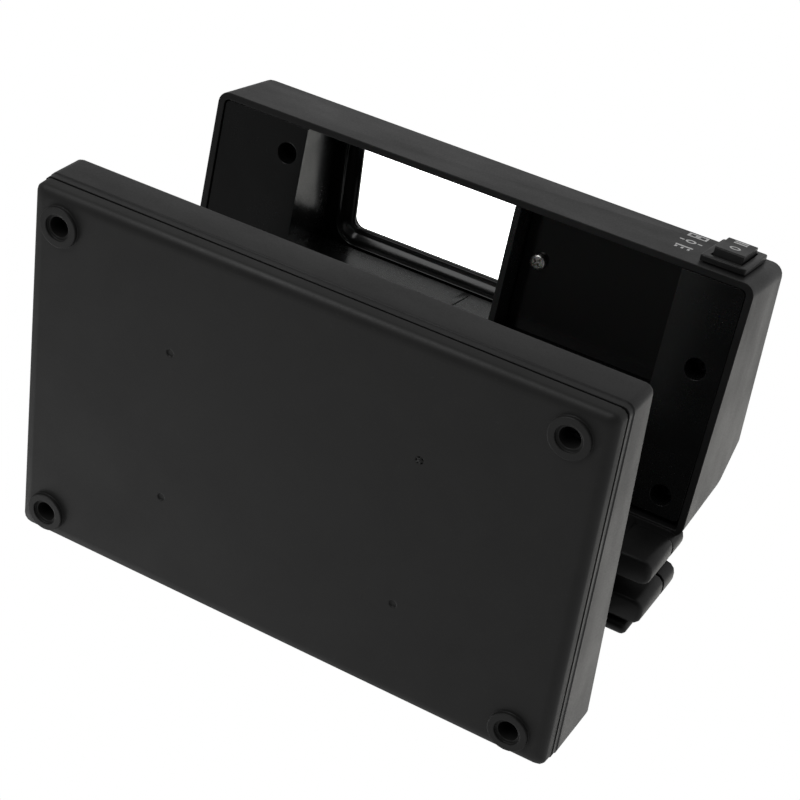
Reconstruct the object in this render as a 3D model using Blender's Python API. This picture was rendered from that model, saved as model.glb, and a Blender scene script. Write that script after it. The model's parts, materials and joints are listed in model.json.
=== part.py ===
"""Desktop counterfeit bill detector, built piece by piece.

A flat lamp base stands on four ring feet.  A ribbed neck at the rear carries
a tilted hood with a magnifier window, an ultraviolet lamp and a three
position rocker switch.  +X is the user's right, -Y the front, +Z up.
"""
import math

import bmesh
import bpy
from mathutils import Matrix, Vector

# Driving dimensions in millimetres and degrees.
MM = 0.001
GAP = 0.3              # clearance between pieces that touch

BASE_W = 191.0
BASE_FRONT = -61.6
BASE_REAR = 62.3
BASE_D = BASE_REAR - BASE_FRONT
BASE_CORNER = 2.8
LIFT = 1.5             # heights below are from a datum this far above the ground
FOOT_H = 1.3           # how far the ring feet stand below the bottom cover
COVER_TOP = 5.1        # parting line of the bottom cover
COVER_ROUND = (3.5, 2.4)   # width and height of the curve along its bottom edge
TRAY_FLOOR = 3.2
SHELL_BOTTOM = 5.7
STEP_Z = 8.0           # small outward step in the top shell's wall
TOP_FRONT = 21.65
TOP_REAR = 31.5
WALL = 2.4
FEET = ((-84.9, -50.0), (82.5, -50.0), (-84.9, 53.0), (82.5, 53.0))
DIMPLES = ((-43.5, -23.6), (40.7, -23.6), (-42.5, 27.8), (39.7, 27.8))

HOOD_W = 191.0
HOOD_D = 87.2
HOOD_Y = -58.4         # front edge of the hood's open underside
HOOD_Z = 98.6
HOOD_TILT = -8.55      # front edge raised
HOOD_FRONT_H = 28.6
HOOD_RIDGE = (65.0, 39.4)
HOOD_SHOULDER = (80.6, 26.4)
HOOD_WALL = 2.3
PAN_TOP = 24.0         # upper ends of the light-shield walls

LENS_X = -22.5
LENS_Y = 25.2
LENS_W = 62.4
LENS_D = 33.4

SWITCH_X = 82.5
SWITCH_Z = 15.0
PIVOT_Y = 1.2

CORE_X = 81.3          # half width of the neck column
RIB_X = 94.9           # half width of the neck ribs
REAR_RIB_X = 91.5      # half width of the rear cover's rib
NECK_TOP = 82.0
NECK_SPLIT = 50.2
NECK_REAR = 54.6
TONGUE_TOP = 90.5
COVER_INSET = 0.5      # the shell overhangs the bottom cover a little
COVER_DRAFT = 0.1
COVER_CORNER = 2.6
RIBS = ((25.4, 34.4), (40.6, 49.6))

TUBE_R = 8.0
TUBE_HALF = 59.0
CAP_LENGTH = 8.0

SLOPE = math.atan2(TOP_REAR - TOP_FRONT, BASE_D)
HOOD_SLOPE = math.atan2(HOOD_RIDGE[1] - HOOD_FRONT_H, HOOD_RIDGE[0])
WORLD = Matrix.Translation(Vector((0.0, 0.0, LIFT)) * MM)
BASE_TOP = (WORLD @ Matrix.Translation(Vector((0.0, BASE_FRONT, TOP_FRONT)) * MM)
            @ Matrix.Rotation(SLOPE, 4, "X"))
HOOD = (WORLD @ Matrix.Translation(Vector((0.0, HOOD_Y, HOOD_Z)) * MM)
        @ Matrix.Rotation(math.radians(HOOD_TILT), 4, "X"))
HOOD_TOP = (HOOD @ Matrix.Translation(Vector((0.0, 0.0, HOOD_FRONT_H)) * MM)
            @ Matrix.Rotation(HOOD_SLOPE, 4, "X"))
PIVOT = HOOD @ Matrix.Translation(Vector((SWITCH_X, PIVOT_Y, SWITCH_Z)) * MM)

MATERIALS = {
    "black_shell": ((0.018, 0.018, 0.019, 1.0), 0.48, 0.0),
    "black_gloss": ((0.010, 0.011, 0.011, 1.0), 0.15, 0.0),
    "opal": ((0.86, 0.87, 0.86, 1.0), 0.35, 0.0),
    "clear": ((0.80, 0.90, 0.86, 1.0), 0.04, 0.0),
    "tube_white": ((0.88, 0.90, 0.92, 1.0), 0.25, 0.0),
    "tube_violet": ((0.035, 0.020, 0.090, 1.0), 0.12, 0.0),
    "alloy": ((0.62, 0.62, 0.63, 1.0), 0.35, 1.0),
    "steel": ((0.55, 0.55, 0.56, 1.0), 0.30, 1.0),
    "white_sheet": ((0.80, 0.80, 0.79, 1.0), 0.30, 0.0),
    "holder_white": ((0.75, 0.74, 0.70, 1.0), 0.45, 0.0),
    "ballast_grey": ((0.22, 0.23, 0.24, 1.0), 0.50, 0.0),
    "brass": ((0.70, 0.52, 0.24, 1.0), 0.35, 1.0),
    "rubber": ((0.022, 0.022, 0.022, 1.0), 0.75, 0.0),
    "switch_black": ((0.014, 0.014, 0.015, 1.0), 0.32, 0.0),
}


def clear_scene():
    for item in list(bpy.data.objects):
        bpy.data.objects.remove(item, do_unlink=True)


def collection(name):
    made = bpy.data.collections.new(name)
    bpy.context.scene.collection.children.link(made)
    return made


def material(name):
    found = bpy.data.materials.get(name)
    if found:
        return found
    made = bpy.data.materials.new(name)
    made.use_nodes = True
    shader = made.node_tree.nodes["Principled BSDF"]
    colour, roughness, metallic = MATERIALS[name]
    shader.inputs["Base Color"].default_value = colour
    shader.inputs["Roughness"].default_value = roughness
    shader.inputs["Metallic"].default_value = metallic
    return made


# ---- shapes, all in millimetres ------------------------------------------

def loft(rings):
    """Skin a stack of equal rings of (x, y, z) points and cap both ends."""
    bm = bmesh.new()
    rows = [[bm.verts.new(Vector(p) * MM) for p in ring] for ring in rings]
    count = len(rows[0])
    for low, high in zip(rows, rows[1:]):
        for i in range(count):
            j = (i + 1) % count
            bm.faces.new((low[i], low[j], high[j], high[i]))
    bm.faces.new(list(reversed(rows[0])))
    bm.faces.new(rows[-1])
    bmesh.ops.recalc_face_normals(bm, faces=bm.faces[:])
    return bm


def rounded(x0, x1, y0, y1, radius, inset=0.0, steps=3):
    """Rounded rectangle outline, counter-clockwise, shrunk by the inset."""
    x0, x1, y0, y1 = x0 + inset, x1 - inset, y0 + inset, y1 - inset
    radius = max(radius - inset, 0.25)
    points = []
    corners = ((x1, y0, -90), (x1, y1, 0), (x0, y1, 90), (x0, y0, 180))
    for cx, cy, start in corners:
        ox = cx - math.copysign(radius, cx - (x0 + x1) / 2)
        oy = cy - math.copysign(radius, cy - (y0 + y1) / 2)
        for i in range(steps + 1):
            a = math.radians(start + 90.0 * i / steps)
            points.append((ox + radius * math.cos(a), oy + radius * math.sin(a)))
    return points


def flat(outline, z):
    return [(x, y, z) for x, y in outline]


def prism(outline, z0, z1):
    return loft([flat(outline, z0), flat(outline, z1)])


def box(x0, x1, y0, y1, z0, z1):
    return prism([(x0, y0), (x1, y0), (x1, y1), (x0, y1)], z0, z1)


def prism_x(profile, x0, x1):
    """Extrude a (y, z) profile along X."""
    return loft([[(x, y, z) for y, z in profile] for x in (x0, x1)])


def circle(radius, count):
    return [(radius * math.cos(2 * math.pi * i / count),
             radius * math.sin(2 * math.pi * i / count)) for i in range(count)]


def turned(axis, centre, profile, count=24):
    """Solid of revolution: profile is (distance along axis, radius)."""
    rings = []
    for along, radius in profile:
        ring = []
        for u, v in circle(radius, count):
            if axis == "X":
                ring.append((centre[0] + along, centre[1] + u, centre[2] + v))
            elif axis == "Y":
                ring.append((centre[0] + u, centre[1] + along, centre[2] + v))
            else:
                ring.append((centre[0] + u, centre[1] + v, centre[2] + along))
        rings.append(ring)
    return loft(rings)


def soft_block(x0, x1, y0, y1, z0, z1, plan, edge, steps=3):
    """Block with rounded vertical corners and rounded top and bottom edges."""
    rings = []
    for i in range(4):
        a = math.radians(30.0 * i)
        outline = rounded(x0, x1, y0, y1, plan, edge * (1 - math.sin(a)), steps)
        rings.append(flat(outline, z0 + edge * (1 - math.cos(a))))
    for i in range(4):
        a = math.radians(30.0 * i)
        outline = rounded(x0, x1, y0, y1, plan, edge * (1 - math.cos(a)), steps)
        rings.append(flat(outline, z1 - edge * (1 - math.sin(a))))
    return loft(rings)


def bevelled(bm, picks, radius, segments):
    """Round the edges chosen by picks(edge centre, edge direction)."""
    edges = []
    for edge in bm.edges:
        a, b = (v.co / MM for v in edge.verts)
        if picks((a + b) / 2, (b - a).normalized()):
            edges.append(edge)
    bmesh.ops.bevel(bm, geom=edges, offset=radius * MM, segments=segments,
                    profile=0.5, affect="EDGES", clamp_overlap=True)
    return bm


# ---- objects -------------------------------------------------------------

clear_scene()
PARTS = collection("counterfeit_bill_detector")
CUTTERS = collection("cutters")


def add(name, bm, finish, frame=WORLD, smooth=True):
    mesh = bpy.data.meshes.new(name)
    bm.to_mesh(mesh)
    bm.free()
    mesh.materials.append(material(finish))
    if smooth:
        mesh.shade_smooth()
        mesh.set_sharp_from_angle(angle=math.radians(35))
    made = bpy.data.objects.new(name, mesh)
    PARTS.objects.link(made)
    made.matrix_world = frame
    return made


def tool(name, bm, frame=WORLD):
    mesh = bpy.data.meshes.new(name)
    bm.to_mesh(mesh)
    bm.free()
    made = bpy.data.objects.new(name, mesh)
    CUTTERS.objects.link(made)
    made.matrix_world = frame
    made.hide_render = True
    made.display_type = "WIRE"
    return made


def boolean(target, operation, label, bm, frame=WORLD):
    modifier = target.modifiers.new(label, "BOOLEAN")
    modifier.operation = operation
    modifier.solver = "EXACT"
    modifier.object = tool(target.name + "_" + label, bm, frame)


def cut(target, label, bm, frame=WORLD):
    boolean(target, "DIFFERENCE", label, bm, frame)


def join(target, label, bm, frame=WORLD):
    boolean(target, "UNION", label, bm, frame)


def base_top_z(y):
    return TOP_FRONT + (y - BASE_FRONT) * (TOP_REAR - TOP_FRONT) / BASE_D


def base_outline(inset):
    return rounded(-BASE_W / 2, BASE_W / 2, BASE_FRONT, BASE_REAR, BASE_CORNER, inset)


def sloped(outline, drop):
    return [(x, y, base_top_z(y) - drop) for x, y in outline]


def screw(name, axis, centre, head_end, tip, head_r=2.8, shank_r=1.5, frame=WORLD):
    """Pan-head screw: head from head_end towards the tip, along one axis."""
    way = 1.0 if tip > head_end else -1.0
    seat = head_end + 2.2 * way
    profile = [(head_end, head_r * 0.62), (head_end + 0.7 * way, head_r),
               (seat, head_r), (seat + 0.01 * way, shank_r),
               (tip - 1.2 * way, shank_r), (tip, 0.4)]
    add(name, turned(axis, centre, profile, 14), "steel", frame)


def base_bottom_cover():
    def outline(inset):
        return rounded(-BASE_W / 2 + inset, BASE_W / 2 - inset,
                       BASE_FRONT + inset, BASE_REAR - inset, COVER_CORNER)

    ground = -LIFT
    under = ground + FOOT_H
    wide, high = COVER_ROUND
    rings = []
    for i in range(6):
        a = math.radians(90.0 - 18.0 * i)
        inset = COVER_INSET + COVER_DRAFT + wide * (1 - math.cos(a))
        rings.append(flat(outline(inset), under + high * (1 - math.sin(a))))
    rings.append(flat(outline(COVER_INSET), COVER_TOP))
    rings.append(flat(base_outline(3.3), COVER_TOP))
    rings.append(flat(base_outline(3.3), 8.5))
    cover = add("base_bottom_cover", loft(rings), "black_shell")
    cut(cover, "tray", prism(base_outline(5.3), TRAY_FLOOR, 12.0))
    for n, (x, y) in enumerate(FEET, 1):
        boss = [(ground, 6.35), (ground + 0.15, 6.5), (4.5, 6.5), (4.51, 4.1), (8.0, 4.1)]
        join(cover, f"boss{n}", turned("Z", (x, y, 0), boss))
        well = [(ground - 1.0, 4.25), (ground + 0.9, 4.25), (ground + 0.91, 3.3),
                (6.2, 3.3), (6.21, 1.8), (9.0, 1.8)]
        cut(cover, f"well{n}", turned("Z", (x, y, 0), well))
    for n, (x, y) in enumerate(DIMPLES, 1):
        dimple = [(under - 1.0, 1.6), (under + 0.35, 1.2)]
        cut(cover, f"dimple{n}", turned("Z", (x, y, 0), dimple, 12))


def base_top_shell():
    rings = [flat(base_outline(0.3), SHELL_BOTTOM), flat(base_outline(0.3), STEP_Z),
             flat(base_outline(0.0), STEP_Z + 0.4)]
    radius = 1.6
    for i in range(4):
        a = math.radians(30.0 * i)
        rings.append(sloped(base_outline(radius * (1 - math.cos(a))), radius * (1 - math.sin(a))))
    shell = add("base_top_shell", loft(rings), "black_shell")
    inner = base_outline(0.5 + WALL)
    cut(shell, "hollow", loft([flat(inner, SHELL_BOTTOM - 2.0), sloped(inner, WALL)]))
    for n, (x, y) in enumerate(FEET, 1):
        top = base_top_z(y) - 1.0
        join(shell, f"post{n}", turned("Z", (x, y, 0), [(8.8, 4.0), (top, 4.0)], 24))
        cut(shell, f"pilot{n}", turned("Z", (x, y, 0), [(7.0, 1.8), (18.0, 1.8)], 20))
    cut(shell, "rebate", prism(rounded(-62.3, 62.3, 8.7, 71.3, 3.0), -2.0, 3.0), BASE_TOP)
    cut(shell, "light", prism(rounded(-59, 59, 12, 68, 3.0), -6.0, 3.0), BASE_TOP)
    cut(shell, "wires", turned("Z", (0, 35, 0), [(20, 8.0), (40, 8.0)], 24))
    for n, x in enumerate((-50, 50), 1):
        cut(shell, f"neck_hole{n}", turned("Z", (x, 35, 0), [(20, 1.8), (40, 1.8)], 20))
    hole = [(BASE_REAR - 9.0, 4.6), (BASE_REAR - 1.2, 4.6), (BASE_REAR - 1.19, 6.8),
            (BASE_REAR + 5.0, 6.8)]
    cut(shell, "cord_hole", turned("Y", (-60, 0, 15), hole))


def fluorescent(prefix, centre, glass, frame=WORLD):
    """Short fluorescent tube: glass, two metal caps and two lampholders."""
    x, y, z = centre
    bead = [(-TUBE_HALF, 6.6), (-TUBE_HALF + 1.6, 7.8), (-TUBE_HALF + 2.4, TUBE_R),
            (TUBE_HALF - 2.4, TUBE_R), (TUBE_HALF - 1.6, 7.8), (TUBE_HALF, 6.6)]
    add(prefix + "_tube", turned("X", centre, bead), glass, frame)
    for side, way in (("left", -1.0), ("right", 1.0)):
        near = (TUBE_HALF + GAP) * way
        far = (TUBE_HALF + GAP + CAP_LENGTH) * way
        cap = [(near, 7.6), (far - 0.8 * way, 7.6), (far, 6.8)]
        add(f"{prefix}_cap_{side}", turned("X", centre, cap, 24), "alloy", frame)
        a, b = sorted((x + far + GAP * way, x + far + (GAP + 8.0) * way))
        block = soft_block(a, b, y - 8.5, y + 8.5, z - 9.0, z + 8.0, 1.5, 0.6, 2)
        add(f"{prefix}_holder_{side}", block, "holder_white", frame)


def base_insides():
    add("base_diffuser", prism(rounded(-62, 62, 9, 71, 2.7), -1.7, -0.1), "opal", BASE_TOP)
    trough = [(-47.0, 17.0), (-41.0, 4.0), (0.0, 4.0), (6.0, 17.0),
              (5.2, 17.0), (-0.6, 4.8), (-40.4, 4.8), (-46.2, 17.0)]
    add("base_reflector", prism_x(trough, -58.0, 58.0), "white_sheet")
    fluorescent("base_lamp", (0.0, -20.0, 13.2), "tube_white")
    add("base_ballast", soft_block(-70, -18, 11, 29, 3.6, 20, 1.2, 0.5, 2), "ballast_grey")
    block = add("base_terminal_block", box(12, 52, 13, 25, 3.6, 13), "holder_white")
    for n in range(5):
        x = 16.0 + 8.0 * n
        cut(block, f"wire{n}", turned("Y", (x, 0, 8), [(10, 1.6), (28, 1.6)], 16))
    gland = [(-6.9, 6.4), (-3.2, 6.4), (-3.19, 4.2), (-0.9, 4.2), (-0.89, 6.4), (0.0, 6.4), (0.4, 5.8)]
    grommet = add("cord_gland", turned("Y", (-60, BASE_REAR, 15), gland, 24), "rubber")
    cut(grommet, "bore", turned("Y", (-60, 0, 15), [(50, 3.0), (66, 3.0)], 24))
    for n, (x, y) in enumerate(FEET, 1):
        screw(f"base_screw_{n}", "Z", (x, y, 0), 3.7, 16.5)


def neck():
    def column(front, rear, half, lift, top):
        plan = rounded(-half, half, front, rear, 2.0, 0.0, 3)
        low = [(x, y, base_top_z(y) + lift) for x, y in plan]
        return loft([low, flat(plan, top)])

    shell = add("neck_front_shell", column(23.9, NECK_SPLIT, CORE_X, GAP, NECK_TOP), "black_shell")
    for n, (front, rear) in enumerate(RIBS, 1):
        rib = soft_block(-RIB_X, RIB_X, front, rear, 64.2, NECK_TOP - 0.02, 3.4, 1.2)
        join(shell, f"rib{n}", rib)
    cut(shell, "hollow", column(26.5, NECK_SPLIT + 6, CORE_X - 2.6, GAP + 2.6, NECK_TOP - 2.7))
    cut(shell, "wires", turned("Z", (0, 35, 0), [(20, 8.0), (40, 8.0)], 24))
    for n, x in enumerate((-50, 50), 1):
        cut(shell, f"base_hole{n}", turned("Z", (x, 35, 0), [(20, 1.8), (40, 1.8)], 20))
        cut(shell, f"hood_hole{n}", turned("Z", (x, 35, 0), [(75, 1.8), (90, 1.8)], 20))
        screw(f"neck_base_screw_{n}", "Z", (x, 35, 0), 24.0, 36.0)
        screw(f"neck_hood_screw_{n}", "Z", (x, 35, 0), 76.8, 85.8)
    for n, (x, z) in enumerate(((-70, 42), (70, 42), (-70, 70), (70, 70)), 1):
        join(shell, f"stud{n}", turned("Y", (x, 0, z), [(25.2, 3.6), (46.0, 3.6)], 20))
        cut(shell, f"stud_pilot{n}", turned("Y", (x, 0, z), [(33.0, 1.8), (48.0, 1.8)], 20))

    cover = add("neck_rear_cover",
                column(NECK_SPLIT + GAP, NECK_REAR + 3.0, CORE_X, GAP, NECK_TOP), "black_shell")
    rib = soft_block(-REAR_RIB_X, REAR_RIB_X, NECK_SPLIT + GAP, NECK_REAR, 63.0, NECK_TOP - 0.02,
                     2.0, 1.6)
    join(cover, "rib3", rib)
    cut(cover, "hollow", column(40.0, NECK_REAR + 0.4, CORE_X - 2.6, GAP + 2.6, NECK_TOP - 2.7))
    for n, (x, z) in enumerate(((-70, 42), (70, 42), (-70, 70), (70, 70)), 1):
        join(cover, f"sleeve{n}", turned("Y", (x, 0, z), [(50.5, 4.4), (55.4, 4.4)], 24))
        well = [(45.0, 1.8), (53.0, 1.8), (53.01, 3.3), (60.0, 3.3)]
        cut(cover, f"well{n}", turned("Y", (x, 0, z), well, 24))
        screw(f"neck_cover_screw_{n}", "Y", (x, 0, z), 55.5, 39.0)


def hood_profile(inset):
    """Side profile of the hood, shrunk on the walls and roof by the inset."""
    slope = math.tan(HOOD_SLOPE)
    lean = (HOOD_D - HOOD_SHOULDER[0]) / HOOD_SHOULDER[1]
    rear = HOOD_D - inset * math.hypot(1.0, lean)
    bottom = 0.0 if inset == 0 else -3.0
    front_top = HOOD_FRONT_H + inset * slope - inset * math.hypot(1.0, slope)
    drop = inset * 1.02
    return [(inset, bottom), (inset, front_top),
            (HOOD_RIDGE[0] - 0.2 * inset, HOOD_RIDGE[1] - drop - 0.03 * inset),
            (HOOD_SHOULDER[0] - 0.78 * inset, HOOD_SHOULDER[1] - 0.55 * inset),
            (rear - lean * bottom, bottom)]


def tongue_outline():
    """Plan of the hood's rear tongue: column width with three ribs a side."""
    right = [(CORE_X, 26.3)]
    ribs = ((26.3, RIBS[0][1], RIB_X, 3.4), RIBS[1] + (RIB_X, 3.4),
            (NECK_SPLIT + GAP, NECK_REAR, REAR_RIB_X, 2.0))
    for front, rear, reach, radius in ribs:
        arc = rounded(-reach, reach, front, rear, radius)[:8]
        right.append((CORE_X, front))
        right.extend(arc)
        right.append((CORE_X, rear))
    right.append((CORE_X, NECK_REAR + 3.0))
    points = []
    for point in right:
        if not points or (Vector(points[-1]) - Vector(point)).length > 0.01:
            points.append(point)
    return points + [(-x, y) for x, y in reversed(points)]


PAN_SCREWS = ((-67.0, 12.9), (84.5, 31.7), (85.2, 75.6), (-85.2, 75.6))


def hood_shell():
    def outer_edges(middle, way):
        upright = abs(way.x) < 0.5 and abs(middle.x) > HOOD_W / 2 - 0.1
        return upright and abs(way.z) > 0.8 and (middle.y < 1.0 or middle.y > HOOD_SHOULDER[0])

    def roof_edges(middle, way):
        return middle.z > 6.0 and not (abs(way.z) > 0.8 and middle.z < 26.0)

    bm = prism_x(hood_profile(0.0), -HOOD_W / 2, HOOD_W / 2)
    bevelled(bm, outer_edges, 4.0, 5)
    bevelled(bm, roof_edges, 1.2, 3)
    shell = add("hood_shell", bm, "black_shell", HOOD)
    inner_x = HOOD_W / 2 - HOOD_WALL
    inner = bevelled(prism_x(hood_profile(HOOD_WALL), -inner_x, inner_x), outer_inner, 1.8, 3)
    cut(shell, "hollow", inner, HOOD)
    for n, (x, y) in enumerate(PAN_SCREWS, 1):
        roof = min(HOOD_FRONT_H + y * math.tan(HOOD_SLOPE), HOOD_RIDGE[1] - 0.77 * (y - 65)) - 1.2
        join(shell, f"post{n}", turned("Z", (x, y, 0), [(12.4, 3.6), (roof, 3.6)], 24), HOOD)
        cut(shell, f"pilot{n}", turned("Z", (x, y, 0), [(10.0, 1.8), (22.0, 1.8)], 20), HOOD)
    opening = rounded(LENS_X - 33, LENS_X + 33, LENS_Y - 18.5, LENS_Y + 18.5, 4.3)
    cut(shell, "window", prism(opening, -9.0, 6.0), HOOD_TOP)
    slot = [(-3.0, SWITCH_Z - 9.8), (6.0, SWITCH_Z - 9.8), (6.0, SWITCH_Z + 9.8), (-3.0, SWITCH_Z + 9.8)]
    cut(shell, "switch_slot", prism_x(slot, SWITCH_X - 6.8, SWITCH_X + 6.8), HOOD)
    join(shell, "tongue", prism(tongue_outline(), NECK_TOP + GAP, TONGUE_TOP))
    for n, x in enumerate((-50, 50), 1):
        cut(shell, f"neck_pilot{n}", turned("Z", (x, 35, 0), [(81.0, 1.8), (87.0, 1.8)], 20))


def outer_inner(middle, way):
    return abs(way.x) < 0.5 and abs(way.z) > 0.8 and middle.y < 4.0


def underside_pan():
    """Panel that closes the hood: light-shield walls and open lamp bay."""
    pan = add("hood_underside_pan", prism(rounded(-92.8, 92.8, 2.7, 82.4, 1.6), 0.5, 2.6),
              "black_shell", HOOD)
    join(pan, "shield", box(-62.8, 73.8, 2.72, 47.3, 0.52, PAN_TOP), HOOD)
    for n, (x, y) in enumerate(PAN_SCREWS, 1):
        join(pan, f"boss{n}", turned("Z", (x, y, 0), [(0.54, 4.8), (12.0, 4.4)], 24), HOOD)
    cut(pan, "viewing_bay", box(-61.0, 15.1, -1.0, 45.5, -2.0, 30.0), HOOD)
    cut(pan, "supply_bay", box(17.1, 72.0, -1.0, 45.5, -2.0, 30.0), HOOD)
    cut(pan, "lamp_bay", box(-62.0, 58.0, 50.5, 77.5, -2.0, 12.0), HOOD)
    for n, (x, y) in enumerate(PAN_SCREWS, 1):
        well = [(-1.0, 3.6), (9.6, 3.6), (9.61, 1.8), (14.0, 1.8)]
        cut(pan, f"well{n}", turned("Z", (x, y, 0), well, 24), HOOD)
        screw(f"hood_screw_{n}", "Z", (x, y, 0), 7.1, 20.5, frame=HOOD)


def supply_bay():
    plate = box(17.5, 71.6, 3.2, 45.1, 11.0, 12.8)
    cover = add("supply_cover_plate", plate, "black_gloss", HOOD)
    cut(cover, "hole", turned("Z", (23.4, 20.8, 0), [(8, 1.8), (16, 1.8)], 20), HOOD)
    screw("supply_cover_screw", "Z", (23.4, 20.8, 0), 8.5, 19.0, 2.6, frame=HOOD)
    supply = soft_block(27, 66, 10, 42, 13.2, 23.0, 1.5, 0.6, 2)
    add("uv_ballast", supply, "ballast_grey", HOOD)


def uv_lamp():
    fluorescent("uv_lamp", (-2.0, 64.0, 13.0), "tube_violet", HOOD)
    trough = [(51.2, 3.2), (56.0, 25.0), (72.0, 25.0), (76.8, 3.2),
              (76.0, 3.2), (71.3, 24.2), (56.7, 24.2), (52.0, 3.2)]
    add("uv_reflector", prism_x(trough, -60.0, 56.0), "alloy", HOOD)


def magnifier():
    def outline(half_w, half_d, radius):
        return rounded(LENS_X - half_w, LENS_X + half_w, LENS_Y - half_d, LENS_Y + half_d, radius)

    rings = [flat(outline(31.4, 16.9, 3.0), -6.0), flat(outline(32.3, 17.8, 3.6), -5.6),
             flat(outline(32.7, 18.2, 4.0), -5.0), flat(outline(32.7, 18.2, 4.0), GAP),
             flat(outline(35.0, 20.5, 5.0), GAP), flat(outline(35.0, 20.5, 5.0), 1.0),
             flat(outline(34.4, 19.9, 4.4), 1.6)]
    frame = add("lens_frame", loft(rings), "black_gloss", HOOD_TOP)
    cut(frame, "aperture", prism(outline(30.5, 16.0, 2.4), -8.0, 4.0), HOOD_TOP)
    pocket = prism(outline(LENS_W / 2 + 0.3, LENS_D / 2 + 0.3, 3.0), -2.5, 4.0)
    cut(frame, "pocket", pocket, HOOD_TOP)
    half_w = LENS_W / 2
    half_d = LENS_D / 2
    dome = [flat(outline(half_w, half_d, 2.7), -2.2), flat(outline(half_w, half_d, 2.7), -0.8)]
    for shrink, z in ((2.5, -0.1), (6.0, 0.5), (10.0, 0.95), (14.0, 1.15)):
        dome.append(flat(outline(half_w - shrink, half_d - shrink, 2.7), z))
    add("magnifier_lens", loft(dome), "clear", HOOD_TOP)


def switch():
    """Panel-mounted rocker switch; the body is fixed, the rocker pivots."""
    x, z = SWITCH_X, SWITCH_Z
    flange = soft_block_y(x - 7.5, x + 7.5, z - 10.5, z + 10.5, -2.2, -GAP)
    body = add("switch_body", flange, "switch_black", HOOD)
    join(body, "barrel", box(x - 6.5, x + 6.5, -0.8, 14.0, z - 9.5, z + 9.5), HOOD)
    cut(body, "mouth", box(x - 5.2, x + 5.2, -4.0, 8.5, z - 7.9, z + 7.9), HOOD)
    cut(body, "axle", turned("X", (x, PIVOT_Y, z), [(-6.1, 1.5), (6.1, 1.5)], 20), HOOD)
    for n, offset in enumerate((-6.0, 0.0, 6.0), 1):
        slot = box(x - 2.7, x + 2.7, 10.0, 15.0, z + offset - 0.7, z + offset + 0.7)
        cut(body, f"slot{n}", slot, HOOD)
        blade = box(x - 2.4, x + 2.4, 10.3, 21.0, z + offset - 0.4, z + offset + 0.4)
        add(f"switch_terminal_{n}", blade, "brass", HOOD)
    side = [(-5.75, -5.9), (-5.5, -6.2), (-3.2, -6.7), (-0.6, -6.9), (3.6, -2.4), (3.6, 2.4),
            (-0.6, 6.9), (-3.2, 6.9), (-5.5, 6.7), (-5.75, 6.4), (-5.6, 3.2), (-5.55, 0.25), (-5.6, -2.7)]
    rocker = add("switch_rocker", prism_x(side, -4.8, 4.8), "switch_black", PIVOT)
    join(rocker, "axle", turned("X", (0, 0, 0), [(-5.8, 1.2), (5.8, 1.2)], 20), PIVOT)


def soft_block_y(x0, x1, z0, z1, front, back):
    """Rounded plate facing -Y with a chamfered front edge."""
    rings = []
    for inset, y in ((0.35, front), (0.1, front + 0.12), (0.0, front + 0.35), (0.0, back)):
        plan = rounded(x0, x1, z0, z1, 0.8, inset, 3)
        rings.append([(x, y, z) for x, z in plan])
    return loft(rings)


base_bottom_cover()
base_top_shell()
base_insides()
neck()
hood_shell()
underside_pan()
supply_bay()
uv_lamp()
magnifier()
switch()
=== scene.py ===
"""Looks of the desktop counterfeit bill detector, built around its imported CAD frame."""

import json
import math

import bmesh
import bpy
from mathutils import Matrix, Vector


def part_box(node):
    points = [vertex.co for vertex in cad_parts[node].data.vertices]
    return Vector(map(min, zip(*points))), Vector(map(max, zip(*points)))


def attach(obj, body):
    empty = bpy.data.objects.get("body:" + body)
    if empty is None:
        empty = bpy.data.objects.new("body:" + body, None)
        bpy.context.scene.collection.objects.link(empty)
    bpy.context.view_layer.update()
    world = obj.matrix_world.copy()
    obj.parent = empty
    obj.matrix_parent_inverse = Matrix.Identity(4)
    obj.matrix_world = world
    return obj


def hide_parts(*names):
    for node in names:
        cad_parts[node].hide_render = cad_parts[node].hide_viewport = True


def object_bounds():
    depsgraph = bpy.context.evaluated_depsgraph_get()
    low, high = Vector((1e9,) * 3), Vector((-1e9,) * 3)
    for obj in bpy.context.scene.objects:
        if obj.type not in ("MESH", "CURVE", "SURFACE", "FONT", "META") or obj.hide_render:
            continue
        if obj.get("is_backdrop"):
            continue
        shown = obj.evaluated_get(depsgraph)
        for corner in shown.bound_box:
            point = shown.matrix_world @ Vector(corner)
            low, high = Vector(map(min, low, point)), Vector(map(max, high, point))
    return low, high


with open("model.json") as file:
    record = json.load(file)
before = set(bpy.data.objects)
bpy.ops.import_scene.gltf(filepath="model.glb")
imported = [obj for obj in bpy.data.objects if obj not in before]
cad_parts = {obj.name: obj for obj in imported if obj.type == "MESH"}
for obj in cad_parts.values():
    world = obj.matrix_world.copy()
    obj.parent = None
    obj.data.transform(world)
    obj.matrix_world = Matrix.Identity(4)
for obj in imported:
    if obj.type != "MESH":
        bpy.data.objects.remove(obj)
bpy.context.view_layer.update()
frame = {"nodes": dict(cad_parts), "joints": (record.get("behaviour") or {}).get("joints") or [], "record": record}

MM = 0.001
NODES = frame["nodes"]

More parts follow.
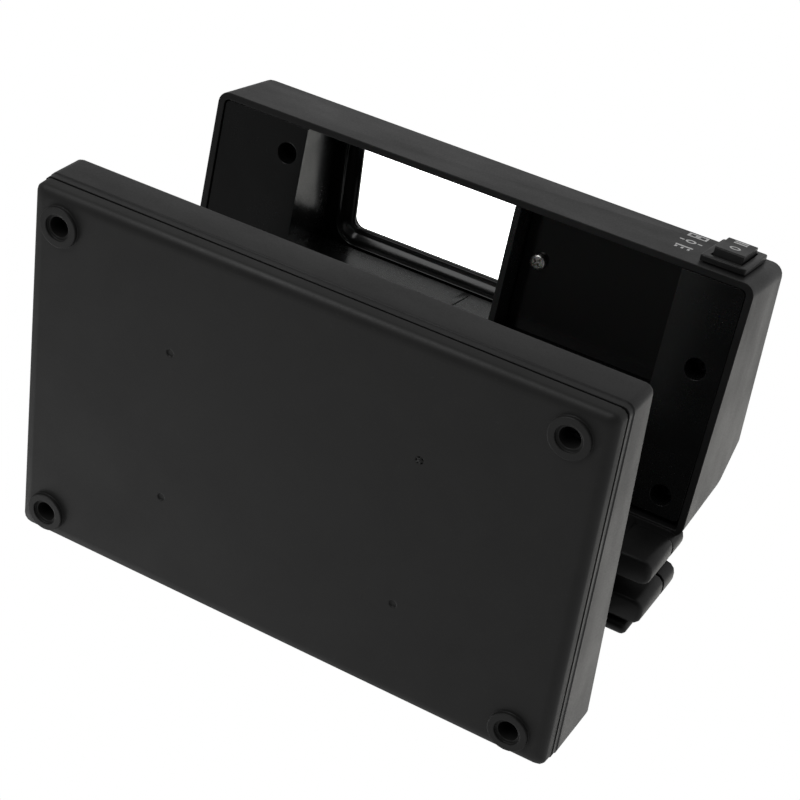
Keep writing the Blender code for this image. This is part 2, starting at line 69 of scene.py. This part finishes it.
# The hood's own frame has its origin at the front lower edge, Y to the rear and Z up
# through the roof. It hangs on the rocker's pivot, whose place is in the record.
HOOD_TILT = math.radians(-8.55)
ROOF_FRONT = 28.6
ROOF_REAR = 39.4
ROOF_RUN = 65.0
HOOD_SLOPE = math.atan2(ROOF_REAR - ROOF_FRONT, ROOF_RUN)
PIVOT_IN_HOOD = Vector((82.5, 1.2, 15.0)) * MM
TURN = Matrix.Rotation(HOOD_TILT, 4, "X")
PIVOT = Matrix.Translation(Vector(frame["joints"][0]["pos_m"])) @ TURN
HOOD = PIVOT @ Matrix.Translation(-PIVOT_IN_HOOD)
HOOD_TOP = (HOOD @ Matrix.Translation(Vector((0.0, 0.0, ROOF_FRONT)) * MM)
            @ Matrix.Rotation(HOOD_SLOPE, 4, "X"))


# ---- materials -----------------------------------------------------------

class Look:
    """One node material: small helpers that add and link nodes."""

    def __init__(self, name, **fixed):
        self.made = bpy.data.materials.new("look_" + name)
        self.made.use_nodes = True
        self.tree = self.made.node_tree
        self.shader = self.tree.nodes["Principled BSDF"]
        for socket, value in fixed.items():
            self.shader.inputs[socket.replace("_", " ")].default_value = value
        self.place = self.tree.nodes.new("ShaderNodeTexCoord").outputs["Object"]

    def node(self, kind, **inputs):
        made = self.tree.nodes.new(kind)
        for socket, value in inputs.items():
            self.link(value, made.inputs[socket.replace("_", " ")])
        return made

    def link(self, value, socket):
        if isinstance(value, bpy.types.NodeSocket):
            self.tree.links.new(value, socket)
        else:
            socket.default_value = value

    def noise(self, size_mm, detail=3.0, stretch=None):
        place = self.place
        if stretch:
            mapping = self.node("ShaderNodeMapping", Vector=place)
            mapping.inputs["Scale"].default_value = stretch
            place = mapping.outputs["Vector"]
        made = self.node("ShaderNodeTexNoise", Vector=place, Scale=1000.0 / size_mm,
                         Detail=detail, Roughness=0.55)
        return made.outputs["Fac"]

    def span(self, value, low, high, start=0.3, end=0.7):
        """Spread a 0..1 pattern's middle part over low..high."""
        made = self.node("ShaderNodeMapRange", Value=value)
        for socket, number in zip(("From Min", "From Max", "To Min", "To Max"),
                                  (start, end, low, high)):
            made.inputs[socket].default_value = number
        return made.outputs["Result"]

    def mix(self, factor, first, second):
        """Mix two colours: the node's colour sockets are 6 and 7 in, and 2 out."""
        made = self.tree.nodes.new("ShaderNodeMix")
        made.data_type = "RGBA"
        self.link(factor, made.inputs["Factor"])
        for socket, value in ((6, first), (7, second)):
            self.link(value, made.inputs[socket])
        return made.outputs[2]

    def math(self, operation, first, second):
        made = self.tree.nodes.new("ShaderNodeMath")
        made.operation = operation
        self.link(first, made.inputs[0])
        self.link(second, made.inputs[1])
        return made.outputs[0]

    def rounded_normal(self, radius_mm):
        made = self.node("ShaderNodeBevel", Radius=radius_mm * MM)
        made.samples = 6
        return made.outputs["Normal"]

    def edges(self, radius_mm):
        """1 along sharp edges, 0 on the flats."""
        normal = self.rounded_normal(radius_mm)
        plain = self.tree.nodes.new("ShaderNodeNewGeometry").outputs["Normal"]
        dot = self.tree.nodes.new("ShaderNodeVectorMath")
        dot.operation = "DOT_PRODUCT"
        self.tree.links.new(normal, dot.inputs[0])
        self.tree.links.new(plain, dot.inputs[1])
        return self.span(dot.outputs["Value"], 1.0, 0.0, 0.80, 0.99)

    def colour(self, value):
        self.link(value, self.shader.inputs["Base Color"])

    def roughness(self, value):
        self.link(value, self.shader.inputs["Roughness"])

    def bump(self, height, depth_mm, strength=1.0, edge_mm=0.0):
        made = self.node("ShaderNodeBump", Height=height, Distance=depth_mm * MM,
                         Strength=strength)
        if edge_mm:
            self.link(self.rounded_normal(edge_mm), made.inputs["Normal"])
        self.link(made.outputs["Normal"], self.shader.inputs["Normal"])


def grey(value, tint=(1.0, 1.0, 1.0)):
    return tuple(value * channel for channel in tint) + (1.0,)


def moulded(name, dark, light, rough, grain_mm, depth_mm, edge_mm=0.35, tint=(1, 1, 1),
            wear=0.5, **fixed):
    """Moulded plastic: spark-eroded grain, slow mottling, rubbed edges, fine dust."""
    look = Look(name, **fixed)
    mottle = look.span(look.noise(14.0), 0.0, 1.0)
    colour = look.mix(mottle, grey(dark, tint), grey(light, tint))
    dust = look.span(look.noise(0.9, 2.0), 0.0, 0.30, 0.66, 0.78)
    colour = look.mix(dust, colour, grey(light * 2.6, tint))
    if wear:
        rubbed = look.math("MULTIPLY", look.edges(edge_mm * 1.3), wear)
        rubbed = look.math("MULTIPLY", rubbed, look.span(look.noise(3.0), 0.4, 1.0))
        colour = look.mix(rubbed, colour, grey(light * 2.2, tint))
    look.colour(colour)
    smear = look.span(look.noise(26.0, 4.0, (1.0, 1.0, 2.5)), rough - 0.05, rough + 0.05)
    fine = look.span(look.noise(0.6), -0.04, 0.04)
    look.roughness(look.math("ADD", smear, fine))
    look.bump(look.noise(grain_mm, 4.0), depth_mm, 0.55, edge_mm)
    return look.made


def metal(name, base, rough, stretch, **fixed):
    """Drawn or rolled metal with faint lines and tarnish."""
    look = Look(name, Metallic=1.0, **fixed)
    tarnish = look.span(look.noise(5.0, 4.0), 0.0, 1.0)
    dull = tuple(0.72 * channel for channel in base[:3]) + (1.0,)
    look.colour(look.mix(tarnish, base, dull))
    lines = look.noise(0.35, 2.0, stretch)
    look.roughness(look.span(lines, rough - 0.08, rough + 0.10))
    look.bump(lines, 0.012, 0.5, 0.15)
    return look.made


def clear_plastic():
    look = Look("clear", Transmission_Weight=1.0, IOR=1.49)
    film = look.span(look.noise(18.0, 4.0), 0.0, 1.0)
    look.colour(look.mix(film, (0.99, 1.0, 0.995, 1.0), (0.97, 0.99, 0.98, 1.0)))
    look.roughness(look.span(look.noise(9.0, 5.0), 0.0, 0.035))
    return look.made


def opal_sheet():
    look = Look("opal", Subsurface_Weight=0.35, Subsurface_Scale=0.002)
    cloud = look.span(look.noise(22.0), 0.0, 1.0)
    look.colour(look.mix(cloud, grey(0.92, (1, 1, 0.985)), grey(0.87, (1, 1, 0.98))))
    look.roughness(look.span(look.noise(2.0), 0.26, 0.38))
    look.bump(look.noise(0.8), 0.008, 0.4, 0.3)
    return look.made


def coated_tube(name, base, deep, rough):
    look = Look(name, Coat_Weight=0.6, Coat_Roughness=0.06)
    cloud = look.span(look.noise(9.0, 4.0, (0.3, 1.0, 1.0)), 0.0, 1.0)
    look.colour(look.mix(cloud, base, deep))
    look.roughness(look.span(look.noise(1.5), rough - 0.05, rough + 0.05))
    return look.made


def printed_white():
    look = Look("print")
    thin = look.span(look.noise(0.5, 3.0), 0.0, 0.5, 0.45, 0.75)
    look.colour(look.mix(thin, grey(0.92), grey(0.74)))
    look.roughness(look.span(look.noise(0.8), 0.42, 0.58))
    look.bump(look.noise(0.2), 0.006, 0.4)
    return look.made


LOOKS = {
    "black_shell": moulded("shell", 0.0085, 0.0115, 0.43, 0.32, 0.012, 0.45, wear=0.25),
    "black_cover": moulded("cover", 0.016, 0.020, 0.50, 0.36, 0.014, 0.50,
                           (1.0, 1.0, 0.97), wear=0.15),
    "black_bay": moulded("bay", 0.0060, 0.0085, 0.24, 0.8, 0.008, 0.30,
                         (0.96, 1.0, 1.0), wear=0.15),
    "black_gloss": moulded("gloss", 0.0018, 0.0028, 0.17, 1.6, 0.006, 0.30, wear=0.2,
                           Specular_IOR_Level=0.28),
    "lens_gloss": moulded("lens_gloss", 0.0060, 0.0080, 0.16, 1.6, 0.006, 0.0,
                          (0.93, 1.0, 0.96), wear=0.0),
    "opal": opal_sheet(),
    "clear": clear_plastic(),
    "tube_white": coated_tube("tube_white", (0.86, 0.88, 0.90, 1), (0.78, 0.80, 0.83, 1), 0.3),
    "tube_violet": coated_tube("tube_violet", (0.03, 0.02, 0.09, 1), (0.05, 0.03, 0.13, 1), 0.15),
    "alloy": metal("alloy", (0.60, 0.60, 0.61, 1), 0.34, (0.05, 1.0, 1.0)),
    "steel": metal("steel", (0.62, 0.61, 0.59, 1), 0.28, (1.0, 1.0, 0.3)),
    "near_black_metal": metal("near_black_metal", (0.045, 0.045, 0.05, 1), 0.38, (1.0, 1.0, 0.3)),
    "white_sheet": moulded("white_sheet", 0.70, 0.78, 0.32, 1.2, 0.01, 0.2, wear=0.0),
    "holder_white": moulded("holder_white", 0.62, 0.70, 0.45, 0.5, 0.01, 0.3,
                            (1.0, 0.98, 0.93), wear=0.0),
    "ballast_grey": moulded("ballast_grey", 0.15, 0.20, 0.5, 0.7, 0.02, 0.3, wear=0.3),
    "brass": metal("brass", (0.72, 0.53, 0.25, 1), 0.32, (1.0, 0.05, 1.0)),
    "rubber": moulded("rubber", 0.016, 0.024, 0.72, 0.4, 0.02, 0.3, wear=0.3),
    "switch_black": moulded("switch", 0.0085, 0.0115, 0.36, 0.5, 0.008, 0.28),
    "print": printed_white(),
}


def dress_nodes():
    """Give every CAD node its finished material and smooth shading between flats."""
    slots = {part["node"]: part["material_slot"] for part in frame["record"]["subparts"]}
    special = {"base_bottom_cover": "black_cover", "hood_underside_pan": "black_bay"}
    for name, thing in NODES.items():
        look = special.get(name, slots[name])
        # Steel nodes other than the supply cover's screw are drawn in near-black metal.
        if look == "steel" and not name.startswith("supply"):
            look = "near_black_metal"
        thing.data.materials.clear()
        thing.data.materials.append(LOOKS[look])
        for face in thing.data.polygons:
            face.material_index = 0
        smooth_shading(thing)


def smooth_shading(thing):
    if "custom_normal" in thing.data.attributes:
        thing.data.attributes.remove(thing.data.attributes["custom_normal"])
    for face in thing.data.polygons:
        face.use_smooth = True
    weld = thing.modifiers.new("weld", "WELD")
    weld.merge_threshold = 0.000002
    split = thing.modifiers.new("split", "EDGE_SPLIT")
    split.split_angle = math.radians(32.0)
    split.use_edge_sharp = False


# ---- shapes, in millimetres until they are placed ------------------------

def rounded(half_x, half_y, radius, steps=10):
    """Rounded rectangle round the origin, counter-clockwise."""
    points = []
    for sx, sy, start in ((1, -1, -90), (1, 1, 0), (-1, 1, 90), (-1, -1, 180)):
        ox, oy = sx * (half_x - radius), sy * (half_y - radius)
        for i in range(steps + 1):
            a = math.radians(start + 90.0 * i / steps)
            points.append((ox + radius * math.cos(a), oy + radius * math.sin(a)))
    return points


def skin(rings, closed=False):
    """Join a list of equal rings of points; closed also joins the last to the first."""
    bm = bmesh.new()
    rows = [[bm.verts.new(Vector(p) * MM) for p in ring] for ring in rings]
    pairs = list(zip(rows, rows[1:]))
    if closed:
        pairs.append((rows[-1], rows[0]))
    count = len(rows[0])
    for low, high in pairs:
        for i in range(count):
            j = (i + 1) % count
            bm.faces.new((low[i], low[j], high[j], high[i]))
    if not closed:
        bm.faces.new(list(reversed(rows[0])))
        bm.faces.new(rows[-1])
    bmesh.ops.recalc_face_normals(bm, faces=bm.faces[:])
    return bm


def piece(name, bm, look, matrix, body="housing", angle=40.0):
    mesh = bpy.data.meshes.new(name)
    bm.to_mesh(mesh)
    bm.free()
    mesh.transform(matrix)
    mesh.materials.append(LOOKS[look])
    mesh.shade_smooth()
    mesh.set_sharp_from_angle(angle=math.radians(angle))
    made = bpy.data.objects.new(name, mesh)
    bpy.context.scene.collection.objects.link(made)
    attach(made, body)
    return made


def merge(parts):
    """Put several bmeshes into one."""
    whole = bmesh.new()
    for part in parts:
        mesh = bpy.data.meshes.new("scratch")
        part.to_mesh(mesh)
        part.free()
        whole.from_mesh(mesh)
        bpy.data.meshes.remove(mesh)
    return whole


# ---- the magnifier's surround --------------------------------------------

LENS_AT = Vector((-22.5, 25.2, 0.0)) * MM
APERTURE = (30.5, 16.0, 2.4)
# (distance out from the aperture, height above the hood's roof)
SURROUND = ((1.05, 1.25), (1.05, -2.45), (0.9, -2.5), (0.0, -2.5), (0.0, -2.95), (0.10, -3.25),
            (0.35, -3.4), (0.8, -3.45), (1.4, -3.55), (1.9, -3.8), (2.35, -4.15), (2.8, -4.57),
            (3.25, -5.05), (3.65, -5.53), (4.0, -6.05), (4.2, -6.5), (4.35, -6.95),
            (4.5, -7.25), (4.7, -7.42), (4.95, -7.4), (5.2, -7.15), (5.38, -6.7), (5.45, -5.9),
            (5.45, -2.9), (2.25, -2.9), (2.2, 0.3), (4.4, 0.3), (4.5, 0.45), (4.45, 0.95),
            (4.2, 1.3), (3.8, 1.5), (3.2, 1.58), (1.9, 1.58), (1.35, 1.5))


def lens_surround():
    """Glossy frame of the magnifier: flange above the roof, wide round lip below."""
    half_x, half_y, corner = APERTURE
    rings = []
    for out, height in SURROUND:
        plan = rounded(half_x + out, half_y + out, corner + out)
        rings.append([(x, y, height) for x, y in plan])
    made = piece("lens_surround", skin(rings, closed=True), "lens_gloss",
                 HOOD_TOP @ Matrix.Translation(LENS_AT), angle=50.0)
    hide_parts("lens_frame")


# ---- screws with cross recesses ------------------------------------------

SCREW_AROUND = 72
SCREW_ACROSS = 22
HEAD_HEIGHT = 2.2
THREAD_STEP = 0.35


def crown_height(x, y, radius_share, head_r):
    """Height of the head's face at a point: a shallow crown with a cross cut into it."""
    crown = 0.75 * (1.0 - math.cos(radius_share * math.pi / 2)) ** 1.6
    arm = min(abs(x), abs(y))
    reach = max(abs(x), abs(y))
    inside = max(0.0, min(1.0, (0.42 - 0.06 * reach - arm) / 0.14))
    inside *= max(0.0, min(1.0, (head_r * 0.62 - reach) / 0.16))
    return crown + (1.5 - 0.45 * reach) * inside


def shank_profile(length, head_r, shank_r):
    """Height and radius down the side of the head and along the thread."""
    profile = [(HEAD_HEIGHT * 0.6, head_r), (HEAD_HEIGHT, head_r * 0.98),
               (HEAD_HEIGHT + 0.01, shank_r)]
    z, turn = HEAD_HEIGHT + 0.4, 0
    while z < length - 1.4:
        profile.append((z, shank_r if turn % 2 == 0 else shank_r * 0.84))
        z += THREAD_STEP
        turn += 1
    return profile + [(length - 1.2, shank_r), (length, 0.35)]


def screw_bmesh(length, head_r, shank_r):
    """Pan-head screw along +Z from its head at 0: crowned head, cross recess, thread."""
    turns = [2 * math.pi * j / SCREW_AROUND for j in range(SCREW_AROUND)]
    bm = bmesh.new()
    rows = [[bm.verts.new(Vector((0.0, 0.0, crown_height(0.0, 0.0, 0.0, head_r))) * MM)]]
    for i in range(1, SCREW_ACROSS + 1):
        share = i / SCREW_ACROSS
        radius = head_r * math.sin(share * math.pi / 2)
        row = []
        for a in turns:
            x, y = radius * math.cos(a), radius * math.sin(a)
            row.append(bm.verts.new(Vector((x, y, crown_height(x, y, share, head_r))) * MM))
        rows.append(row)
    for j in range(SCREW_AROUND):
        bm.faces.new((rows[0][0], rows[1][(j + 1) % SCREW_AROUND], rows[1][j]))
    for z, radius in shank_profile(length, head_r, shank_r):
        rows.append([bm.verts.new(Vector((radius * math.cos(a), radius * math.sin(a), z)) * MM)
                     for a in turns])
    for low, high in zip(rows[1:], rows[2:]):
        for j in range(SCREW_AROUND):
            k = (j + 1) % SCREW_AROUND
            bm.faces.new((low[j], low[k], high[k], high[j]))
    bm.faces.new(rows[-1])
    bmesh.ops.recalc_face_normals(bm, faces=bm.faces[:])
    return bm


SHANK_RADIUS = 1.5


def screw(node, into, look, turn):
    """Stand a detailed screw where a CAD screw is; into points from head to tip."""
    into = Vector(into).normalized()
    points = [v.co for v in NODES[node].data.vertices]
    along = [p.dot(into) for p in points]
    lowest, highest = min(along), max(along)
    side = sorted((p - into * t for p, t in zip(points, along)), key=lambda q: tuple(q))
    middle = sum(side, Vector()) / len(side)
    radius = max((q - middle).length for q in side) / MM
    centre = middle + into * lowest
    basis = into.to_track_quat("Z", "Y").to_matrix().to_4x4()
    matrix = Matrix.Translation(centre) @ basis @ Matrix.Rotation(math.radians(turn), 4, "Z")
    bm = screw_bmesh((highest - lowest) / MM, radius, SHANK_RADIUS)
    made = piece(node + "_detail", bm, look, matrix, angle=35.0)
    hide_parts(node)


def screws():
    hood_up = TURN.to_3x3() @ Vector((0, 0, 1))
    for n in range(1, 5):
        # Base, hood and neck cover screws are drawn in near-black metal; the supply cover screw stays plain steel.
        screw(f"base_screw_{n}", (0, 0, 1), "near_black_metal", 23 * n)
        screw(f"hood_screw_{n}", hood_up, "near_black_metal", 31 * n)
        screw(f"neck_cover_screw_{n}", (0, -1, 0), "near_black_metal", 17 * n)
    screw("supply_cover_screw", hood_up, "steel", 40)


# ---- printed marks -------------------------------------------------------

def plate(outline, front, back):
    """Thin plate in the XZ plane; front(z) gives the Y of its outer face."""
    near = [(x, front(z), z) for x, z in outline]
    far = [(x, back(z), z) for x, z in outline]
    return skin([near, far])


def bar(x, z, width, height):
    w, h = width / 2, height / 2
    return [(x - w, z - h), (x + w, z - h), (x + w, z + h), (x - w, z + h)]


def oval_ring(x, z, half_w, half_h, stroke, front, back, count=40):
    rings = []
    for inset, depth in ((0.0, front), (stroke, front), (stroke, back), (0.0, back)):
        ring = []
        for i in range(count):
            a = 2 * math.pi * i / count
            px = x + (half_w - inset) * math.cos(a)
            pz = z + (half_h - inset) * math.sin(a)
            ring.append((px, depth(pz), pz))
        rings.append(ring)
    return skin(rings, closed=True)


ROCKER_FACE = ((-5.9, -5.75), (-2.7, -5.6), (0.25, -5.55), (3.2, -5.6), (6.4, -5.75))
INK = 0.035


def rocker_face(z):
    for (z0, y0), (z1, y1) in zip(ROCKER_FACE, ROCKER_FACE[1:]):
        if z <= z1:
            return y0 + (y1 - y0) * (z - z0) / (z1 - z0)
    return ROCKER_FACE[-1][1]


def rocker_marks():
    front = lambda z: rocker_face(z) - INK
    back = lambda z: rocker_face(z) + 0.2
    parts = [plate(bar(0.0, z, 4.5, 0.85), front, back) for z in (5.35, 3.95)]
    parts.append(oval_ring(0.0, -1.2, 1.8, 1.5, 0.65, front, back))
    piece("rocker_marks", merge(parts), "print", PIVOT, "rocker")


MARK_X = 67.4


def position_marks():
    """Plain signs beside the switch: a sheet, an empty ring and a lamp with rays."""
    front = lambda z: -INK
    back = lambda z: 0.2
    top, middle, low = 24.9, 18.3, 11.3
    parts = []
    for x, z, w, h in ((MARK_X, top + 1.35, 6.6, 0.75), (MARK_X, top - 1.35, 6.6, 0.75),
                       (MARK_X - 2.9, top, 0.8, 1.95), (MARK_X + 2.9, top, 0.8, 1.95),
                       (MARK_X, top, 1.7, 1.3),
                       (MARK_X - 3.0, middle, 1.5, 0.8), (MARK_X + 3.0, middle, 1.5, 0.8),
                       (MARK_X, low + 0.9, 5.8, 1.0),
                       (MARK_X - 2.1, low - 1.0, 0.8, 1.6), (MARK_X, low - 1.0, 0.8, 1.6),
                       (MARK_X + 2.1, low - 1.0, 0.8, 1.6)):
        parts.append(plate(bar(x, z, w, h), front, back))
    parts.append(oval_ring(MARK_X, middle, 1.75, 1.6, 0.75, front, back))
    piece("position_marks", merge(parts), "print", HOOD)


# ---- small moulding details ----------------------------------------------

def soft_box(x0, x1, y0, y1, z0, z1, edge):
    bm = bmesh.new()
    corners = [(x, y, z) for x in (x0, x1) for y in (y0, y1) for z in (z0, z1)]
    verts = [bm.verts.new(Vector(c) * MM) for c in corners]
    for face in ((0, 1, 3, 2), (4, 6, 7, 5), (0, 4, 5, 1),
                 (2, 3, 7, 6), (0, 2, 6, 4), (1, 5, 7, 3)):
        bm.faces.new([verts[i] for i in face])
    bmesh.ops.recalc_face_normals(bm, faces=bm.faces[:])
    bmesh.ops.bevel(bm, geom=bm.edges[:], offset=edge * MM, segments=3, profile=0.5,
                    affect="EDGES")
    return bm


def bay_details():
    """Raised strip on the viewing bay's rear wall."""
    strip = soft_box(-4.1, -1.7, 45.2, 45.49, 1.0, 23.2, 0.1)
    piece("bay_strip", strip, "black_bay", HOOD)


GATE_AT = (40.7, -23.6, 1.3)
GATE_RADII = (1.9, 0.8)
GATE_POINTS = 10


def mould_mark():
    """Rough star left by the mould's gate on the underside of the base."""
    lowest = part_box("base_bottom_cover")[0].z
    bm = bmesh.new()
    centre = bm.verts.new((0, 0, -0.25 * MM))
    rim = []
    for i in range(GATE_POINTS):
        radius = GATE_RADII[i % 2] * MM
        a = 2 * math.pi * i / GATE_POINTS
        rim.append(bm.verts.new((radius * math.cos(a), radius * math.sin(a), 0.05 * MM)))
    top = bm.verts.new((0, 0, 0.3 * MM))
    for i in range(GATE_POINTS):
        j = (i + 1) % GATE_POINTS
        bm.faces.new((centre, rim[j], rim[i]))
        bm.faces.new((top, rim[i], rim[j]))
    bmesh.ops.recalc_face_normals(bm, faces=bm.faces[:])
    place = Matrix.Translation(Vector(GATE_AT) * MM + Vector((0, 0, lowest)))
    piece("mould_mark", bm, "black_cover", place, angle=10.0)


# ---- studio --------------------------------------------------------------

FLOOR_REACH = 3.0
FLOOR_GAP = 0.0003


def floor():
    """Pale ground with a faint glow of its own, unseen from below."""
    mesh = bpy.data.meshes.new("floor")
    reach = FLOOR_REACH
    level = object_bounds()[0].z - FLOOR_GAP
    mesh.from_pydata([(-reach, -reach, level), (reach, -reach, level),
                      (reach, reach, level), (-reach, reach, level)], [], [(0, 1, 2, 3)])
    look = Look("floor", Specular_IOR_Level=0.2, Emission_Strength=0.28,
                Emission_Color=(1.0, 1.0, 1.0, 1.0))
    cloud = look.span(look.noise(180.0), 0.0, 1.0)
    look.colour(look.mix(cloud, grey(0.80), grey(0.77)))
    look.roughness(look.span(look.noise(40.0), 0.6, 0.75))
    clear = look.tree.nodes.new("ShaderNodeBsdfTransparent").outputs[0]
    behind = look.tree.nodes.new("ShaderNodeNewGeometry").outputs["Backfacing"]
    either = look.tree.nodes.new("ShaderNodeMixShader")
    for value, socket in ((behind, 0), (look.shader.outputs[0], 1), (clear, 2)):
        look.tree.links.new(value, either.inputs[socket])
    output = look.tree.nodes["Material Output"]
    look.tree.links.new(either.outputs[0], output.inputs["Surface"])
    mesh.materials.append(look.made)
    made = bpy.data.objects.new("floor", mesh)
    bpy.context.scene.collection.objects.link(made)
    made.visible_shadow = False
    made.visible_diffuse = False
    made.visible_glossy = False
    made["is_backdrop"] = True


SKY_AXIS = Vector((0.10, 0.62, 0.78)).normalized()
# (place along the axis from 0, far side, to 1, near side; grey of the light there)
SKY_STEPS = ((0.0, 0.03), (1.0, 0.40), (0.15, 0.08), (0.35, 0.28), (0.60, 0.36), (0.80, 0.40))
SEEN_THROUGH_GAIN = 0.2


def sky_math(tree, operation, *values):
    """Math node whose inputs are sockets or numbers."""
    made = tree.nodes.new("ShaderNodeMath")
    made.operation = operation
    for value, socket in zip(values, made.inputs):
        if isinstance(value, bpy.types.NodeSocket):
            tree.links.new(value, socket)
        else:
            socket.default_value = value
    return made.outputs[0]


def sky_gradient(tree):
    """Background that lights the object, grey by the angle from SKY_AXIS."""
    way = tree.nodes.new("ShaderNodeTexCoord").outputs["Generated"]
    dot = tree.nodes.new("ShaderNodeVectorMath")
    dot.operation = "DOT_PRODUCT"
    dot.inputs[1].default_value = SKY_AXIS
    tree.links.new(way, dot.inputs[0])
    spread = tree.nodes.new("ShaderNodeMapRange")
    spread.inputs["From Min"].default_value = -1.0
    tree.links.new(dot.outputs["Value"], spread.inputs["Value"])
    ramp = tree.nodes.new("ShaderNodeValToRGB")
    tree.links.new(spread.outputs["Result"], ramp.inputs["Fac"])
    stops = ramp.color_ramp.elements
    for i, (place, value) in enumerate(SKY_STEPS):
        stop = stops[i] if i < 2 else stops.new(place)
        stop.color = (value, value, value, 1.0)
    lit = tree.nodes["Background"]
    tree.links.new(ramp.outputs["Color"], lit.inputs["Color"])
    return lit


def sky():
    """White where it is looked at, straight or through the magnifier; grey as a light."""
    world = bpy.data.worlds.new("studio")
    bpy.context.scene.world = world
    world.use_nodes = True
    tree = world.node_tree
    lit = sky_gradient(tree)
    seen = tree.nodes.new("ShaderNodeBackground")
    seen.inputs["Color"].default_value = (1.0, 1.0, 1.0, 1.0)
    path = tree.nodes.new("ShaderNodeLightPath").outputs
    through = path["Is Transmission Ray"]
    gain = sky_math(tree, "MULTIPLY_ADD", through, SEEN_THROUGH_GAIN, 1.0)
    tree.links.new(gain, seen.inputs["Strength"])
    bounces = sky_math(tree, "ADD", path["Glossy Depth"], path["Diffuse Depth"])
    straight = sky_math(tree, "LESS_THAN", bounces, 0.5)
    direct = sky_math(tree, "MULTIPLY", through, straight)
    either = sky_math(tree, "MAXIMUM", path["Is Camera Ray"], direct)
    mix = tree.nodes.new("ShaderNodeMixShader")
    for value, socket in ((either, 0), (lit.outputs[0], 1), (seen.outputs[0], 2)):
        tree.links.new(value, mix.inputs[socket])
    tree.links.new(mix.outputs[0], tree.nodes["World Output"].inputs["Surface"])


WHITE = (1.0, 1.0, 1.0)
# (name, where, size, watts, colour)
LIGHTS = (
    ("right_box", (0.50, 0.90, 1.30), 0.9, 1.05, (1.0, 0.98, 0.92)),
    ("top_box", (-0.40, 0.75, 1.15), 0.9, 3.0, WHITE),
    ("left_rear_box", (-0.95, 1.05, -0.45), 0.6, 1.6, WHITE),
    ("front_low_box", (-0.38, -0.85, -0.55), 0.8, 3.6, WHITE),
)


def lights():
    low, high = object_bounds()
    middle = (low + high) / 2
    for name, where, size, watts, colour in LIGHTS:
        data = bpy.data.lights.new(name, "AREA")
        data.shape = "DISK"
        data.size = size
        data.energy = watts
        data.color = colour
        made = bpy.data.objects.new(name, data)
        bpy.context.scene.collection.objects.link(made)
        made.location = where
        made.rotation_euler = (middle - Vector(where)).to_track_quat("-Z", "Y").to_euler()


CAMERA_AT = (0.22897, -0.33599, -0.42472)
CAMERA_TURN = (151.6743, -29.3005, -8.6030)
CAMERA_LENS = 90.976
CAMERA_SENSOR = 36.0


def camera():
    """Below and in front of the object, looking up at its underside."""
    data = bpy.data.cameras.new("camera")
    data.sensor_width = CAMERA_SENSOR
    data.lens = CAMERA_LENS
    data.clip_start, data.clip_end = 0.01, 20.0
    made = bpy.data.objects.new("camera", data)
    bpy.context.scene.collection.objects.link(made)
    made.location = CAMERA_AT
    made.rotation_euler = [math.radians(a) for a in CAMERA_TURN]
    bpy.context.scene.camera = made


dress_nodes()
lens_surround()
screws()
rocker_marks()
position_marks()
bay_details()
mould_mark()
floor()
sky()
lights()
camera()
bpy.context.scene.view_settings.view_transform = "Standard"
